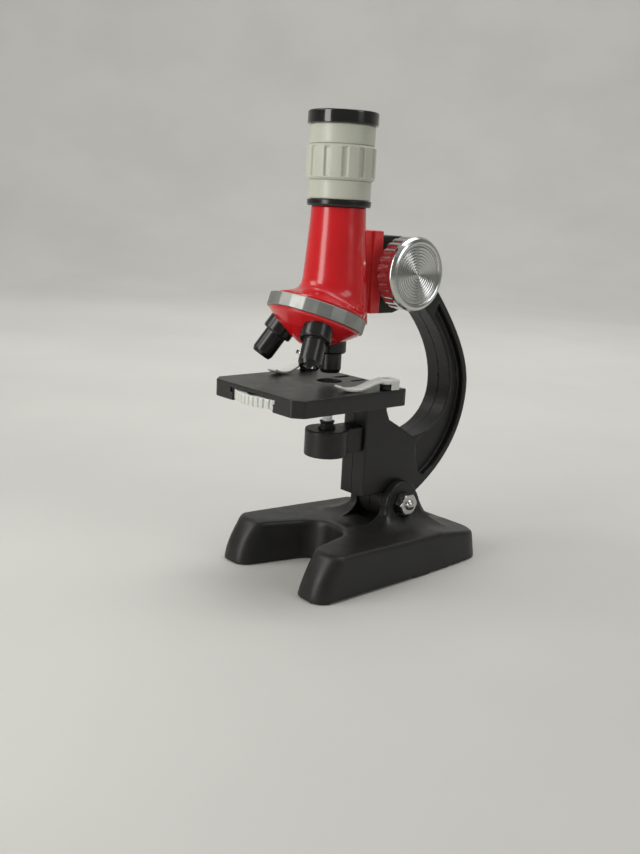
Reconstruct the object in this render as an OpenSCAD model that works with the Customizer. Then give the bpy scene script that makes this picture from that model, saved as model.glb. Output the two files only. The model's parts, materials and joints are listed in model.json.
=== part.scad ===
// Toy monocular microscope: tilting arm, rack focusing, turret of three objectives.
// X runs left to right, -Y is the front, Z is up and the feet stand on Z = 0.

/* [Base] */
// Widest width of the base
base_w = 82; // [78:1:86]
// Height of the flat top of the base
base_h = 22; // [20:0.5:23]
// Thickness of the base shell
base_wall = 2.4; // [2:0.1:3]
// Radius of the tilt bolt
bolt_r = 2.5; // [2:0.1:3]

/* [Arm] */
// Width of the arm, side to side
arm_w = 17; // [16.6:0.1:17.2]
// Depth of the pocket on each side of the arm
pocket_depth = 4; // [1:0.5:5]
// Thickness of the rim along the back of the arm
rim_w = 3.3; // [2:0.1:4]
// Thickness of the lip along the inside of the arm
inner_lip = 1.8; // [1.2:0.1:2.5]

/* [Stage] */
// Width of the stage
stage_w = 66.8; // [64:0.2:70]
// Height of the top of the stage
stage_top = 97.9; // [97:0.1:98]
// Thickness of the stage plate
plate_t = 2.2; // [1.8:0.1:2.4]
// Depth of the skirt around the stage
skirt_h = 8.4; // [7.6:0.1:9]
// Radius of the light hole
light_hole_r = 6.2; // [4:0.1:6.5]
// Radius of the filter wheel
wheel_r = 29; // [27:0.5:30]

/* [Optics] */
// Radius of the turret's grip ring
ring_r = 24.2; // [22:0.1:25]
// Radius of an objective barrel
objective_r = 5.4; // [5:0.1:6]
// Length of the short objective, from the point where the barrels' axes meet
low_reach = 58.5; // [56:0.1:59]
// Length of the middle objective, from the same point
mid_reach = 61.3; // [57:0.1:61.8]
// Length of the long objective, from the same point
high_reach = 62; // [58:0.1:62.2]
// Radius of the red tube at its top
tube_top_r = 13.1; // [12.6:0.1:13.4]

/* [Controls] */
// Radius of a focus knob
knob_r = 18; // [16:0.5:18.5]
// Thickness of a focus knob
knob_t = 13; // [10:0.5:14]
// Radius of the lamp drum
lamp_r = 11; // [10:0.5:12.5]

/* [Hidden] */
$fn = 64;
curve_steps = 14;
hull_fn = 32;
fit = 0.06;
gap = 0.3;

// The optical axis is drawn at X = 0, Y = 0 and moved so that the box is centred on Y = 0.
arm_back_y = 96;
wheel_y = -22;
centre_y = (arm_back_y + wheel_y - wheel_r) / 2;

// Tilt joint
pivot_y = 44.5;
pivot_z = 30.7;
ear_gap = arm_w / 2 + gap;
ear_out = 14;
ear_r = 11.5;
lug_r = 10.8;
notch_end_y = 8;
slot_z = 18.4;
nut_r = 6.2;
nut_h = 5;
bevel_y = 51;
bevel_drop = 8;

// Arm outline in Y and Z
arm_mid_z = 90;
arm_in_y = 81.3;
column_y = 19.4;
column_z = 36.2;
head_y = 22;
head_low = 131.4;
head_top = 169.5;
bay_y = [27, 45];
bay_z = [40, 73];
bay_step_y = 36;
bay_step_z = 66;
pocket_x = pocket_depth - arm_w / 2;
arm_screw_places = [
  [pocket_x, 87.8, 91], [pocket_x, 76.6, 121], [pocket_x, 69, 51], [-6.5, 35.5, 162], [-6.5, 23, 44]
];
cover_t = 1.5;

// Stage
stage_front = -47.9;
stage_back = 21;
stage_low = stage_top - skirt_h;
plate_low = stage_top - plate_t;
shelf_y = 8.6;
clip_y = 9.5;
clip_x = 30;
clip_turn = 11;
wheel_top = plate_low - 0.5;
wheel_low = wheel_top - 4.7;
filter_ring_r = 22;
filter_r = 5;
filter_count = 6;

// Lamp
lamp_z = 66.85;
lamp_h = 13.5;
lamp_top = lamp_z + lamp_h / 2;
lamp_neck_r = lamp_h / 2 - 0.2;
spigot_r = 3;

// Turret
turret_lean = 20;
turret_y = -10.7;
turret_z = 131.4;
ring_h = 6.5;
flange_low = ring_h / 2 + 0.4;
apex_z = turret_z - turret_y / tan(turret_lean);
pivot_screw_r = 2;
objective_turns = [0, 120, 240];
objective_reach = [low_reach, mid_reach, high_reach];

// Tube and eyepiece
tube_top = 182;
collar_top = 185.3;
grip_low = 194;
grip_high = 210;
cap_low = 219;
total_h = 225;

// Focus drive
knob_y = 29;
knob_z = 152;
tooth_m = 0.8;
pinion_teeth = 10;
pinion_r = pinion_teeth * tooth_m / 2;
shaft_r = 1.8;
knob_in = 15.4;
rack_low = 131.7;
rack_h = 40;

function bezier(p, n) = [
  for (i = [0:n])
    let (t = i / n, s = 1 - t)
      s * s * s * p[0] + 3 * s * s * t * p[1] + 3 * s * t * t * p[2] + t * t * t * p[3]
];
function back_low() = [[arm_back_y, 88], [arm_back_y, 68], [86, 48], [60, 33]];
function back_high() = [[42, 166], [82, 128], [arm_back_y, 106], [arm_back_y, 88]];
function inside_high() = [[49, 139.5], [67, 127], [arm_in_y, 109], [arm_in_y, arm_mid_z]];
function inside_low() = [[arm_in_y, arm_mid_z], [arm_in_y, 76], [70, 66], [55, 64.5]];
function without_first(path) = [for (i = [1:len(path) - 1]) path[i]];
function reversed(path) = [for (i = [len(path) - 1:-1:0]) path[i]];
function back_curve() = concat(
  bezier(back_high(), curve_steps), without_first(bezier(back_low(), curve_steps))
);
function inside_curve() = concat(
  bezier(inside_high(), curve_steps), without_first(bezier(inside_low(), curve_steps))
);
function left_normal(a, b) = [a[1] - b[1], b[0] - a[0]] / norm(b - a);
function shifted(path, d) = [
  for (i = [0:len(path) - 1])
    path[i] + d * left_normal(path[max(i - 1, 0)], path[min(i + 1, len(path) - 1)])
];

module placed() {
  translate([0, -centre_y, 0]) children();
}

// A shape drawn in Y and Z, given a thickness along X and centred on X = 0.
module slab(width) {
  translate([-width / 2, 0, 0]) rotate([90, 0, 90]) linear_extrude(width) children();
}

module along_x(r, x0, x1) {
  translate([x0, 0, 0]) rotate([0, 90, 0]) cylinder(r = r, h = x1 - x0);
}

module along_y(r, y0, y1) {
  translate([0, y0, 0]) rotate([-90, 0, 0]) cylinder(r = r, h = y1 - y0);
}

module tube_of(r_out, r_in, z0, z1) {
  translate([0, 0, z0]) difference() {
    cylinder(r = r_out, h = z1 - z0);
    translate([0, 0, -1]) cylinder(r = r_in, h = z1 - z0 + 2);
  }
}

module both_sides() {
  children();
  mirror([1, 0, 0]) children();
}

module block(low, high) {
  translate(low) cube(high - low);
}

// ---- Base ----

module foot_print(z, front, back, inset) {
  half = base_w / 2 - inset;
  translate([0, 0, z]) both_sides() {
    translate([half - 8.5, front + 5, 0]) cylinder(r = 5, h = 0.1, $fn = hull_fn);
    translate([half - 12, 42, 0]) cylinder(r = 12, h = 0.1, $fn = hull_fn);
    translate([half - 19, back - 14, 0]) cylinder(r = 14, h = 0.1, $fn = hull_fn);
  }
}

module base_outside(inset, z0, z1) {
  hull() {
    foot_print(z0, -35.5 + inset, 86 - inset, inset);
    foot_print(z1 - 0.1, -25.5 + inset, 84 - inset, inset + 0.8);
  }
}

module notch_print(z, grow, r, mouth, corner_x, corner_y) {
  translate([0, 0, z]) both_sides() {
    translate([corner_x, corner_y, 0]) cylinder(r = r + grow, h = 0.1, $fn = hull_fn);
    translate([0, -44, 0]) cube([mouth + grow, 1, 0.1]);
  }
}

module notch(grow) {
  hull() {
    notch_print(-1, grow, 9, 25, 4.5, notch_end_y - 12);
    notch_print(base_h + 2, grow, 10, 29.5, 5, notch_end_y - 10);
  }
}

module rear_bevel(lift) {
  translate([-60, bevel_y, base_h + lift]) rotate([-atan(bevel_drop / 33), 0, 0]) cube([120, 60, 30]);
}

module ear_profile() {
  translate([pivot_y, pivot_z]) circle(r = ear_r);
  polygon([
    [pivot_y - ear_r, pivot_z], [33.4, slot_z - 2.4], [66, slot_z - 2.4],
    [66, 19.6], [62.5, 23], [60, 26.5], [57.4, 31], [pivot_y + 11, pivot_z + 3.3]
  ]);
}

module ear_flare() {
  hull() {
    translate([-24, 20, base_h - 3]) cube([48, 40, 2.9]);
    translate([-16.4, 28, base_h + 1.1]) cube([32.8, 32, 0.1]);
  }
  hull() {
    translate([-16.4, 28, base_h + 1]) cube([32.8, 32, 0.1]);
    translate([-ear_out, 33.4, base_h + 2.2]) cube([2 * ear_out, 25, 0.1]);
  }
}

module base() {
  color("#1c1c1e") placed() difference() {
    union() {
      difference() {
        base_outside(0, 0.6, base_h);
        rear_bevel(0);
        notch(0);
        difference() {
          base_outside(base_wall, -1, base_h - base_wall);
          rear_bevel(-base_wall);
          notch(base_wall);
        }
      }
      ear_flare();
      slab(2 * ear_out) ear_profile();
      block([-ear_gap - 2, 28, slot_z - 3], [ear_gap + 2, 65, slot_z]);
      both_sides() {
        translate([28.6, -21, 1.2]) cylinder(r = 4.6, h = 19);
        translate([21, 68, 1.2]) cylinder(r = 6, h = 14);
      }
    }
    block([-ear_gap, 14, base_h], [ear_gap, 80, 50]);
    block([-ear_gap, 30, slot_z], [ear_gap, 64, 40]);
    intersection() {
      rear_bevel(0);
      block([-ear_gap, 60, 10], [ear_gap, 90, 50]);
    }
    translate([0, pivot_y, pivot_z]) along_x(bolt_r + fit, -20, 20);
  }
}

module base_feet() {
  color("#2a2a2c") placed() both_sides() {
    translate([28.6, -21, 0]) cylinder(r = 4, h = 1.2);
    translate([21, 68, 0]) cylinder(r = 5, h = 1.2);
  }
}

module tilt_bolt() {
  color("silver") placed() translate([0, pivot_y, pivot_z]) {
    along_x(bolt_r, -16, 20.2);
    translate([20.2, 0, 0]) rotate([0, 90, 0]) rotate_extrude() intersection() {
      translate([0, -2.5]) circle(r = 3.54);
      square([bolt_r, 3]);
    }
    difference() {
      along_x(5, -18.6, -15.2);
      block([-19, -6, -0.6], [-17.2, 6, 0.6]);
      block([-19, -0.6, -6], [-17.2, 0.6, 6]);
    }
  }
}

module bolt_washer() {
  color("silver") placed() translate([0, pivot_y, pivot_z]) difference() {
    along_x(6.2, -15.1, -14.1);
    along_x(bolt_r + fit, -16, -13);
  }
}

module tilt_nut() {
  color("silver") placed() translate([ear_out + 0.1, pivot_y, pivot_z]) difference() {
    rotate([0, 90, 0]) cylinder(r = nut_r, h = nut_h, $fn = 6);
    along_x(bolt_r + fit, -1, 6);
  }
}

// ---- Arm ----

module arm_outline() {
  polygon(concat(
    back_curve(),
    [[54.6, 27], [pivot_y + 4, pivot_z - 8], [pivot_y - 4, pivot_z], [34.5, column_z]],
    [[column_y, column_z], [column_y, stage_low + 0.2], [shelf_y, stage_low + 0.2]],
    [[shelf_y, plate_low - 0.1], [18.4, plate_low - 0.1], [18.4, stage_low + 1.6]],
    [[33.4, stage_low + 0.6], [33.8, 81], [36.2, 75.7], [44, 71.2]],
    reversed(inside_curve()),
    [[47, 138.4], [41, 134], [33, head_low], [head_y, head_low]],
    [[head_y, head_top], [36, head_top]]
  ));
  translate([pivot_y, pivot_z]) circle(r = lug_r);
}

module arm_pocket() {
  polygon(concat(
    [for (p = shifted(back_curve(), -rim_w)) if (p[1] > 45 && p[1] < 128) p],
    [[66, 41.8], [61.8, 43.6], [59.2, 50.8], [58, 60], [60, 62.8]],
    [for (p = reversed(shifted(inside_curve(), inner_lip))) if (p[0] > 62 && p[1] < 128) p]
  ));
}

module pinion_room() {
  translate([0, knob_y, knob_z]) {
    along_x(5.4, -4.6, 4.6);
    along_x(shaft_r + fit, -12, 12);
  }
  block([-4.5, head_y - 1, head_low - 1], [4.5, 26.4, head_top + 1]);
  block([-6.4, head_y + 0.9, head_low - 1], [6.4, head_y + 2.4, head_top + 1]);
}

module bay(grow, x1) {
  x0 = -arm_w / 2 - 1;
  block([x0, bay_y[0] - grow, bay_z[0] - grow], [x1, bay_y[1] + grow, bay_step_z + grow]);
  block([x0, bay_y[0] - grow, bay_step_z - 1], [x1, bay_step_y + grow, bay_z[1] + grow]);
}

module arm_body() {
  difference() {
    slab(arm_w) arm_outline();
    both_sides() translate([arm_w / 2 - pocket_depth, 0, 0])
      rotate([90, 0, 90]) linear_extrude(pocket_depth + 1) arm_pocket();
    translate([0, pivot_y, pivot_z]) along_x(bolt_r + fit, -20, 20);
    pinion_room();
    translate([0, 0, lamp_z]) along_y(lamp_neck_r + 0.4, column_y - 1, column_y + 3);
    translate([0, 0, lamp_z]) along_y(spigot_r + fit, column_y, bay_y[0] + 1);
    bay(0, 6);
    bay(1.5, -arm_w / 2 + cover_t + 0.1);
    translate([0, 29.5, 77.2]) {
      along_x(3.6, -arm_w / 2 - 1, -arm_w / 2 + cover_t + 0.1);
      along_x(0.8, -arm_w / 2, 0);
    }
    for (place = arm_screw_places) translate([0, place[1], place[2]]) {
      along_x(2.3, -arm_w, place[0]);
      along_x(0.8, place[0] - 1, 2.6);
    }
  }
  both_sides() block([5.4, 9.6, plate_low - 0.2], [6.6, 18, stage_top - 0.5]);
}

module arm_right() {
  color("#1c1c1e") placed() intersection() {
    arm_body();
    block([0, 0, 0], [20, 120, 200]);
  }
}

module arm_left() {
  color("#1c1c1e") placed() intersection() {
    arm_body();
    block([-20, 0, 0], [0, 120, 200]);
  }
}

module arm_screws() {
  color("silver") placed() for (place = arm_screw_places) translate([0, place[1], place[2]])
    difference() {
      union() {
        along_x(0.8, place[0] - 0.5, 2.4);
        along_x(2, place[0] - 1.1, place[0]);
      }
      block([place[0] - 2, -1.5, -0.25], [place[0] - 0.6, 1.5, 0.25]);
      block([place[0] - 2, -0.25, -1.5], [place[0] - 0.6, 0.25, 1.5]);
    }
}

module battery_cover() {
  x0 = -arm_w / 2;
  color("#1c1c1e") placed() difference() {
    union() {
      intersection() {
        bay(1.3, x0 + cover_t);
        block([x0, 0, 0], [0, 100, 100]);
      }
      translate([0, 29.5, 77.2]) along_x(3.4, x0, x0 + cover_t);
    }
    translate([0, 29.5, 77.2]) along_x(1.1, x0 - 1, x0 + 3);
    for (i = [0:4]) block([x0 - 1, 32, 44 + 2.4 * i], [x0 + 0.5, 40, 45 + 2.4 * i]);
  }
}

module cover_screw() {
  color("silver") placed() translate([0, 29.5, 77.2]) difference() {
    union() {
      along_x(0.8, -arm_w / 2 - 0.1, -1);
      along_x(2, -arm_w / 2 - 0.9, -arm_w / 2 - 0.05);
    }
    block([-arm_w / 2 - 2, -1.6, -0.25], [-arm_w / 2 - 0.4, 1.6, 0.25]);
    block([-arm_w / 2 - 2, -0.25, -1.6], [-arm_w / 2 - 0.4, 0.25, 1.6]);
  }
}

module button_cells() {
  color("silver") placed() translate([-0.6, 36, 0]) for (i = [0:2])
    translate([0, 0, 43.2 + 5.4 * i]) {
      cylinder(r = 5.7, h = 4.5);
      translate([0, 0, 4.5]) cylinder(r = 4.6, h = 0.8);
    }
}

module battery_contacts() {
  color("goldenrod") placed() translate([-0.6, 36, 0]) {
    translate([0, 0, 40.1]) cylinder(r = 4, h = 0.4);
    translate([0, 0, 40.5]) cylinder(r1 = 3.6, r2 = 1.8, h = 2.6);
    translate([-4, -4, 59.5]) cube([8, 8, 0.5]);
  }
}

module lamp_leads() {
  color("firebrick") placed() {
    translate([-2.4, 33, 60]) cylinder(r = 0.5, h = 8);
    translate([2.4, 33, 60]) cylinder(r = 0.5, h = 8);
    translate([4.8, 43.5, 40.3]) cylinder(r = 0.5, h = 24);
    translate([4.8, 0, 63.8]) along_y(0.5, 33, 43.5);
    translate([0, 33, 63.8]) along_x(0.5, 2.4, 4.8);
  }
}

// ---- Stage ----

module stage_print() {
  half = stage_w / 2;
  cut = 4.6;
  polygon([
    [-half + cut, stage_front], [half - cut, stage_front], [half, stage_front + cut],
    [half, stage_back - 3], [half - 3, stage_back], [-half + 3, stage_back],
    [-half, stage_back - 3], [-half, stage_front + cut]
  ]);
  both_sides() translate([half - 3, stage_back - 3]) circle(r = 3);
}

module stage() {
  half = stage_w / 2;
  wall = 2.2;
  color("#1c1c1e") placed() {
    difference() {
      translate([0, 0, stage_low]) linear_extrude(skirt_h) stage_print();
      difference() {
        block([wall - half, stage_front + wall, stage_low - 1], [half - wall, stage_back - wall, plate_low]);
        both_sides() translate([half - wall, stage_front + wall, 0]) rotate([0, 0, 45])
          block([-3.4, -5, stage_low - 2], [3.4, 5, plate_low + 1]);
      }
      block([-15.5, stage_front - 1, stage_low - 1], [15.5, stage_front + wall + 1, plate_low]);
      block([-ear_gap, 17, stage_low - 1], [ear_gap, stage_back + 1, stage_low + 1.8]);
      translate([0, wheel_y, stage_low - 1]) cylinder(r = wheel_r + 0.4, h = plate_low - stage_low + 1);
      cylinder(r = light_hole_r, h = 2 * stage_top);
      both_sides() block([5.1, 9.2, plate_low - 1], [6.9, 18.4, stage_top + 1]);
      both_sides() translate([clip_x, clip_y, stage_low]) cylinder(r = 1.2, h = 20);
    }
    translate([0, wheel_y, 0]) tube_of(2.5, 0.9, wheel_low - 0.2, plate_low + 0.5);
  }
}

module clip_posts() {
  color("#1c1c1e") placed() both_sides() translate([clip_x, clip_y, 0]) {
    translate([0, 0, plate_low - 3]) cylinder(r = 1.15, h = 6);
    translate([0, 0, stage_top + 0.05]) cylinder(r = 2.9, h = 2.95);
    translate([0, 0, stage_top + 2.9]) cylinder(r = 1.6, h = 2);
  }
}

module clip_shape() {
  low = stage_top + 0.25;
  post_top = stage_top + 3.15;
  color("#e9e9e4", 0.9) placed() translate([clip_x, clip_y, 0]) rotate([0, 0, -clip_turn]) {
    difference() {
      translate([0, 0, low]) cylinder(r = 4.4, h = 5);
      translate([0, 0, low - 1]) cylinder(r = 3.2, h = post_top - low + 1);
      translate([0, 0, low]) cylinder(r = 1.6 + fit, h = 8);
      block([-6, -6, low - 1], [6, 1, post_top]);
    }
    slab(6.4) polygon([
      [-3.4, low + 5], [-3.4, post_top], [-7, post_top - 0.2], [-14.5, low + 1], [-18, low],
      [-20.5, low], [-23, low + 0.6], [-27, low + 3.2], [-27.2, low + 4.4], [-26.2, low + 4.4],
      [-22.6, low + 1.9], [-20.3, low + 1.3], [-18.2, low + 1.3], [-15, low + 2.3], [-8, low + 4.9]
    ]);
  }
}

module stage_clip_right() {
  clip_shape();
}

module stage_clip_left() {
  mirror([1, 0, 0]) clip_shape();
}

module wheel_screw() {
  color("silver") placed() translate([0, wheel_y, 0]) difference() {
    union() {
      translate([0, 0, wheel_low - 1.5]) cylinder(r = 4.4, h = 1.2);
      translate([0, 0, wheel_low - 0.4]) cylinder(r = 0.9, h = 4.4);
    }
    block([-2.4, -0.4, wheel_low - 2], [2.4, 0.4, wheel_low - 0.9]);
    block([-0.4, -2.4, wheel_low - 2], [0.4, 2.4, wheel_low - 0.9]);
  }
}

module filter_wheel() {
  flutes = 48;
  thick = wheel_top - wheel_low;
  color("#eeeee8", 0.85) placed() translate([0, wheel_y, wheel_low]) difference() {
    cylinder(r = wheel_r, h = thick);
    for (i = [0:flutes - 1]) rotate([0, 0, 360 / flutes * (i + 0.5)]) translate([wheel_r + 0.5, 0, -1])
      cylinder(r = 0.9, h = thick + 2);
    translate([0, 0, -1]) cylinder(r = 2.5 + fit, h = thick + 2);
    for (i = [0:filter_count - 1]) rotate([0, 0, 90 + 360 / filter_count * i])
      translate([filter_ring_r, 0, 0]) {
        translate([0, 0, -1]) cylinder(r = filter_r - 0.6, h = thick + 2);
        translate([0, 0, thick - 1.6]) cylinder(r = filter_r, h = 3);
      }
    translate([0, 0, -1]) difference() {
      cylinder(r = 15.4, h = 3.4);
      translate([0, 0, -1]) cylinder(r = 6, h = 6);
    }
  }
}

module colour_filters() {
  color("orange", 0.7) placed() translate([0, wheel_y, wheel_top - 1.6])
    for (i = [1:filter_count - 1]) rotate([0, 0, 90 + 360 / filter_count * i])
      translate([filter_ring_r, 0, 0]) cylinder(r = filter_r, h = 0.8);
}

// ---- Lamp ----

module lamp_housing() {
  color("#1c1c1e") placed() translate([0, 0, lamp_z]) difference() {
    union() {
      translate([0, 0, -lamp_h / 2]) cylinder(r = lamp_r, h = lamp_h);
      block([-lamp_neck_r + 0.2, 4, -lamp_neck_r], [lamp_neck_r - 0.2, column_y - 0.3, lamp_neck_r]);
      along_y(lamp_neck_r, 15, column_y + 2.6);
      along_y(spigot_r, column_y, bay_y[0] + 3);
    }
    translate([0, 0, -lamp_h / 2 - 1]) cylinder(r = lamp_r - 1.4, h = 3);
    translate([0, 0, -3.2]) cylinder(r = 8, h = 8);
    translate([0, 0, 0]) cylinder(r = 2.2, h = 10);
    along_y(1.2, 4, 40);
  }
}

module lamp_retainer() {
  color("#d8d8d4") placed() translate([0, 0, lamp_z]) difference() {
    along_y(4.8, bay_y[0] + 0.2, bay_y[0] + 1.6);
    along_y(spigot_r, bay_y[0] - 1, bay_y[0] + 5);
  }
}

module bulb_collar() {
  color("#1c1c1e") placed() translate([0, 0, lamp_top]) rotate_extrude() polygon([
    [2.2, 0], [4.3, 0], [4.3, 1], [3.4, 2], [3.4, 2.8], [4, 4], [2.2, 4]
  ]);
}

module bulb() {
  color("white") placed() {
    translate([0, 0, lamp_z + 1]) cylinder(r = 2.1, h = lamp_h / 2 + 3.5);
    translate([0, 0, lamp_top + 4.05]) cylinder(r = 2.5, h = 1.3);
    translate([0, 0, lamp_top + 5.35]) rotate_extrude() intersection() {
      circle(r = 2.5);
      square([3, 3]);
    }
  }
}

module lamp_mirror() {
  color("lightsteelblue") placed() translate([0, 0, lamp_z - lamp_h / 2 + 0.5])
    cylinder(r = lamp_r - 1.5, h = 1.4);
}

// ---- Tube ----

module tilted() {
  translate([0, turret_y, turret_z]) rotate([-turret_lean, 0, 0]) children();
}

module tube_skin() {
  rotate_extrude() polygon([
    [0, 141], [16.2, 141], [15.9, 146], [15, 156], [14.2, 166], [13.5, 174],
    [tube_top_r, tube_top], [0, tube_top]
  ]);
}

module flare_disc(r, y, z) {
  tilted() translate([0, y, z]) cylinder(r = r, h = 0.1, $fn = hull_fn);
}

module tube_flare() {
  flange_r = ring_r - 1.4;
  hull() {
    translate([0, 0, 142]) cylinder(r = 15.7, h = 0.1, $fn = hull_fn);
    flare_disc(17.6, 3.4, 9.2);
  }
  hull() {
    flare_disc(17.5, 3.4, 9.25);
    flare_disc(flange_r - 0.4, 0, 5);
  }
  tilted() translate([0, 0, flange_low]) cylinder(r = flange_r, h = 1.9);
}

module tube() {
  color("#c8151b") placed() difference() {
    union() {
      tube_skin();
      tube_flare();
      translate([0, 0, tube_top - 0.1]) cylinder(r = 11.6, h = 3);
    }
    translate([0, 0, 139]) cylinder(r = 10.6, h = 60);
    cylinder(r = 5.6, h = 150);
    tilted() cylinder(r = pivot_screw_r, h = 7.5);
  }
}

module rack_block() {
  top = rack_low + rack_h;
  color("#c8151b") placed() difference() {
    union() {
      block([-8, 4, rack_low], [8, 15.6, top]);
      block([-10, 15.5, rack_low], [10, head_y - gap, top]);
      block([-4.2, 18, rack_low], [4.2, head_y + 2, top]);
      block([-6, head_y + 1.2, rack_low], [6, head_y + 2.1, top]);
      rack_teeth();
    }
    translate([0, 0, rack_low - 5]) cylinder(r = 11.6, h = 60);
    tube_skin();
    block([-20, -30, rack_low - 20], [20, 15.9, 142.2]);
  }
}

// Straight-sided rack teeth in mesh with the pinion; a gap faces the pinion's first tooth.
module rack_teeth() {
  pitch = PI * tooth_m;
  first = ceil((rack_low + 2 - knob_z) / pitch);
  last = floor((rack_low + rack_h - 2 - knob_z) / pitch);
  root_y = knob_y - pinion_r - 1.1 * tooth_m;
  tip_y = knob_y - pinion_r + 0.85 * tooth_m;
  for (i = [first:last]) translate([0, 0, knob_z + (i + 0.5) * pitch]) slab(7.8) polygon([
    [root_y - 0.4, -0.42 * pitch], [root_y, -0.4 * pitch], [tip_y, -0.13 * pitch],
    [tip_y, 0.13 * pitch], [root_y, 0.4 * pitch], [root_y - 0.4, 0.42 * pitch]
  ]);
}

module turret_screw() {
  color("silver") placed() tilted() {
    translate([0, 0, -19.6]) cylinder(r = pivot_screw_r, h = 27);
    difference() {
      translate([0, 0, -21]) cylinder(r = 3.8, h = 1.6);
      block([-2.6, -0.4, -22], [2.6, 0.4, -20.2]);
      block([-0.4, -2.6, -22], [0.4, 2.6, -20.2]);
    }
  }
}

module tube_collar() {
  color("#1c1c1e") placed() tube_of(15.3, 11.7, tube_top, collar_top);
}

// ---- Eyepiece ----

module eyepiece_barrel() {
  color("#e7e8e2") placed() difference() {
    union() {
      translate([0, 0, collar_top]) cylinder(r = 14.9, h = grip_low - collar_top - 0.1);
      translate([0, 0, collar_top]) cylinder(r = 13.2, h = cap_low - collar_top - 1);
    }
    translate([0, 0, collar_top - 1]) cylinder(r = 11.4, h = 60);
    block([-1.2, -20, 196], [1.2, 0, 208]);
  }
}

module eyepiece_collar() {
  color("#e7e8e2") placed() tube_of(15.5, 13.25, grip_high + 0.1, cap_low);
}

module zoom_grip() {
  lobes = 12;
  color("#e7e8e2") placed() translate([0, 0, grip_low]) difference() {
    cylinder(r = 16.4, h = grip_high - grip_low);
    translate([0, 0, -1]) cylinder(r = 13.2 + fit, h = 20);
    for (i = [0:lobes - 1]) rotate([0, 0, 360 / lobes * i]) translate([16.9, 0, 1.6])
      cylinder(r = 1.8, h = grip_high - grip_low - 3.2);
  }
}

module eyecup() {
  color("#1c1c1e") placed() difference() {
    rotate_extrude() polygon([
      [0, cap_low], [16.7, cap_low], [16.7, total_h - 0.8], [15.9, total_h], [9, total_h],
      [7.4, total_h - 1.6], [0, total_h - 1.6]
    ]);
    translate([0, 0, cap_low - 1]) cylinder(r = 12, h = 3);
    translate([0, 0, cap_low]) cylinder(r = 6.5, h = 10);
  }
}

module ocular_lens() {
  color("lightcyan", 0.4) placed() translate([0, 0, cap_low + 2.2]) cylinder(r = 6.4, h = 2);
}

module zoom_lens_cell() {
  color("#1c1c1e") placed() {
    tube_of(11.2, 9.6, 196.5, 204.5);
    block([-1, -12.6, 199.5], [1, -10.4, 201.5]);
  }
}

module zoom_lens() {
  color("lightcyan", 0.4) placed() translate([0, 0, 199]) cylinder(r = 9.6, h = 2.2);
}

// ---- Turret ----

module objective_at(k) {
  translate([0, 0, apex_z]) rotate([-turret_lean, 0, 0]) rotate([0, 0, objective_turns[k]])
    rotate([turret_lean, 0, 0]) children();
}

module turret_ring() {
  sides = 22;
  inner_r = ring_r - 3;
  color("#c9c9cb") placed() tilted() translate([0, 0, -ring_h / 2]) difference() {
    linear_extrude(ring_h) polygon([
      for (i = [0:sides - 1]) ring_r * [cos(360 / sides * (i + 0.5)), sin(360 / sides * (i + 0.5))]
    ]);
    translate([0, 0, -1]) cylinder(r = inner_r, h = ring_h + 2);
  }
}

module nosepiece() {
  low = -ring_h / 2;
  inner_r = ring_r - 3;
  color("#c8151b") placed() difference() {
    tilted() rotate_extrude() polygon([
      [pivot_screw_r + fit, 2.6], [inner_r, 2.6], [inner_r, low], [22.6, low], [21.8, low - 2.4],
      [17.6, low - 7.4], [11, low - 12.6], [5, low - 16], [pivot_screw_r + fit, low - 16]
    ]);
    for (k = [0:2]) objective_at(k) translate([0, 0, -60]) cylinder(r = 4.6, h = 60);
    for (k = [0:2]) objective_at(k) translate([0, 0, -60]) cylinder(r = 7.5, h = 21);
  }
}

module objective(k) {
  reach = objective_reach[k];
  color("#161618") placed() objective_at(k) rotate_extrude() polygon([
    [3.4, -reach], [objective_r - 1.1, -reach], [objective_r, -reach + 1.6], [objective_r, -48.6],
    [7, -48.4], [7.4, -47.6], [7.4, -39.1], [4.5, -39.1], [4.5, -34.5], [3.4, -34.5]
  ]);
}

module objective_low() {
  objective(0);
}

module objective_mid() {
  objective(1);
}

module objective_high() {
  objective(2);
}

module objective_lenses() {
  color("lightcyan", 0.4) placed() for (k = [0:2]) objective_at(k)
    translate([0, 0, -objective_reach[k] + 0.8]) cylinder(r = 3.4, h = 1.6);
}

// ---- Focus drive ----

module pinion() {
  tip_r = pinion_r + 0.85 * tooth_m;
  root_r = pinion_r - 1.15 * tooth_m;
  step = 360 / pinion_teeth;
  color("#e7e8e2") placed() translate([0, knob_y, knob_z]) difference() {
    union() {
      along_x(root_r, -4, 4);
      for (i = [0:pinion_teeth - 1]) rotate([step * i, 0, 0]) slab(7.4) polygon([
        [-root_r + 0.3, -0.82], [-pinion_r, -0.46], [-tip_r, -0.18],
        [-tip_r, 0.18], [-pinion_r, 0.46], [-root_r + 0.3, 0.82]
      ]);
    }
    along_x(shaft_r, -5, 5);
  }
}

module focus_shaft() {
  color("silver") placed() translate([0, knob_y, knob_z]) along_x(shaft_r, -24, 24);
}

module knob_shape() {
  flutes = 28;
  color("#cfcfd1") placed() translate([0, knob_y, knob_z]) difference() {
    translate([knob_in, 0, 0]) rotate([0, 90, 0]) rotate_extrude() polygon([
      [shaft_r, 8.6], [shaft_r, 10 - knob_in - 0.8], [6, 10 - knob_in - 0.8], [6, 0],
      [knob_r - 1, 0], [knob_r, 1], [knob_r, knob_t - 2.4], [knob_r - 1.6, knob_t - 0.3],
      [knob_r - 3, knob_t], [knob_r - 3.6, knob_t - 1], [2, knob_t - 0.4], [0, knob_t - 0.4],
      [0, 8.6]
    ]);
    for (i = [0:flutes - 1]) rotate([360 / flutes * i, 0, 0])
      translate([knob_in - 1, 0, knob_r + 0.5]) rotate([0, 90, 0]) cylinder(r = 1.3, h = knob_t - 2.4);
  }
}

module knob_right() {
  knob_shape();
}

module knob_left() {
  mirror([1, 0, 0]) knob_shape();
}

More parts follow.
